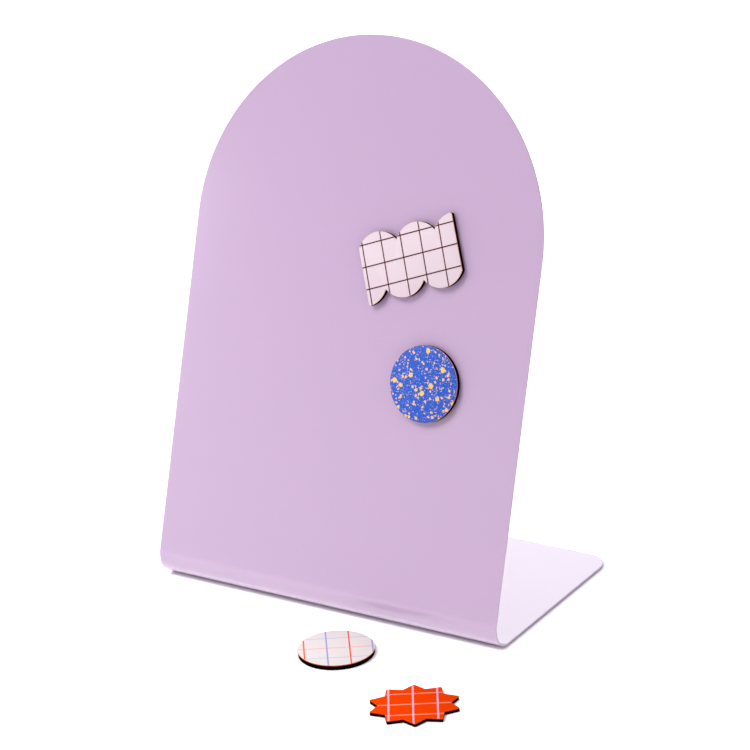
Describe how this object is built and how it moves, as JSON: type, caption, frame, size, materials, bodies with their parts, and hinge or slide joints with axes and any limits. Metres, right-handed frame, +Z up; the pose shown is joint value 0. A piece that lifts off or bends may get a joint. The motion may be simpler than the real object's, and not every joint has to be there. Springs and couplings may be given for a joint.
{
  "type": "magnetic memo board",
  "caption": "Free-standing memo board: one folded steel sheet with an arched, leaning panel and a flat foot, with loose printed magnets on it and before it.",
  "frame": {"origin": "on the desk plane, at the middle of the whole set's outline seen from above, with the two loose desk magnets included", "axes": "+X towards the board's right seen from the front, +Y from the panel towards the rear edge of the foot, +Z up"},
  "size_m": [0.2238, 0.213, 0.2911],
  "materials": {
    "powder_coated_steel": "smooth lilac powder coat, semi-gloss",
    "grip_rubber": "translucent grey-white, matt",
    "charred_board": "fibreboard with laser-charred black edges",
    "nickel_plate": "nickel plated, bright satin",
    "pink_print": "printed film, pale pink with a thin brown grid",
    "blue_print": "printed film, blue with ochre specks",
    "white_print": "printed film, near white with a red and blue grid",
    "orange_print": "printed film, orange-red with a pale grid"
  },
  "bodies": {
    "board": {"board_sheet": "powder_coated_steel", "foot_pad_front_left": "grip_rubber", "foot_pad_front_right": "grip_rubber", "foot_pad_rear_left": "grip_rubber", "foot_pad_rear_right": "grip_rubber"},
    "scallop_magnet": {"scallop_core": "charred_board", "scallop_face": "pink_print", "scallop_puck": "nickel_plate"},
    "speckle_disc_magnet": {"speckle_disc_core": "charred_board", "speckle_disc_face": "blue_print", "speckle_disc_puck": "nickel_plate"},
    "grid_disc_magnet": {"grid_disc_core": "charred_board", "grid_disc_face": "white_print", "grid_disc_puck": "nickel_plate"},
    "star_magnet": {"star_core": "charred_board", "star_face": "orange_print", "star_puck": "nickel_plate"}
  },
  "joints": [
    {"name": "scallop_pull_off", "type": "slide", "parent": "board", "child": "scallop_magnet", "axis": [0, -0.9483, 0.3173], "range_m": [0, 0.06]},
    {"name": "speckle_disc_pull_off", "type": "slide", "parent": "board", "child": "speckle_disc_magnet", "axis": [0, -0.9483, 0.3173], "range_m": [0, 0.06]},
    {"name": "grid_disc_lift", "type": "slide", "parent": "board", "child": "grid_disc_magnet", "axis": [0, 0, 1], "range_m": [0, 0.06]},
    {"name": "star_lift", "type": "slide", "parent": "board", "child": "star_magnet", "axis": [0, 0, 1], "range_m": [0, 0.06]}
  ]
}
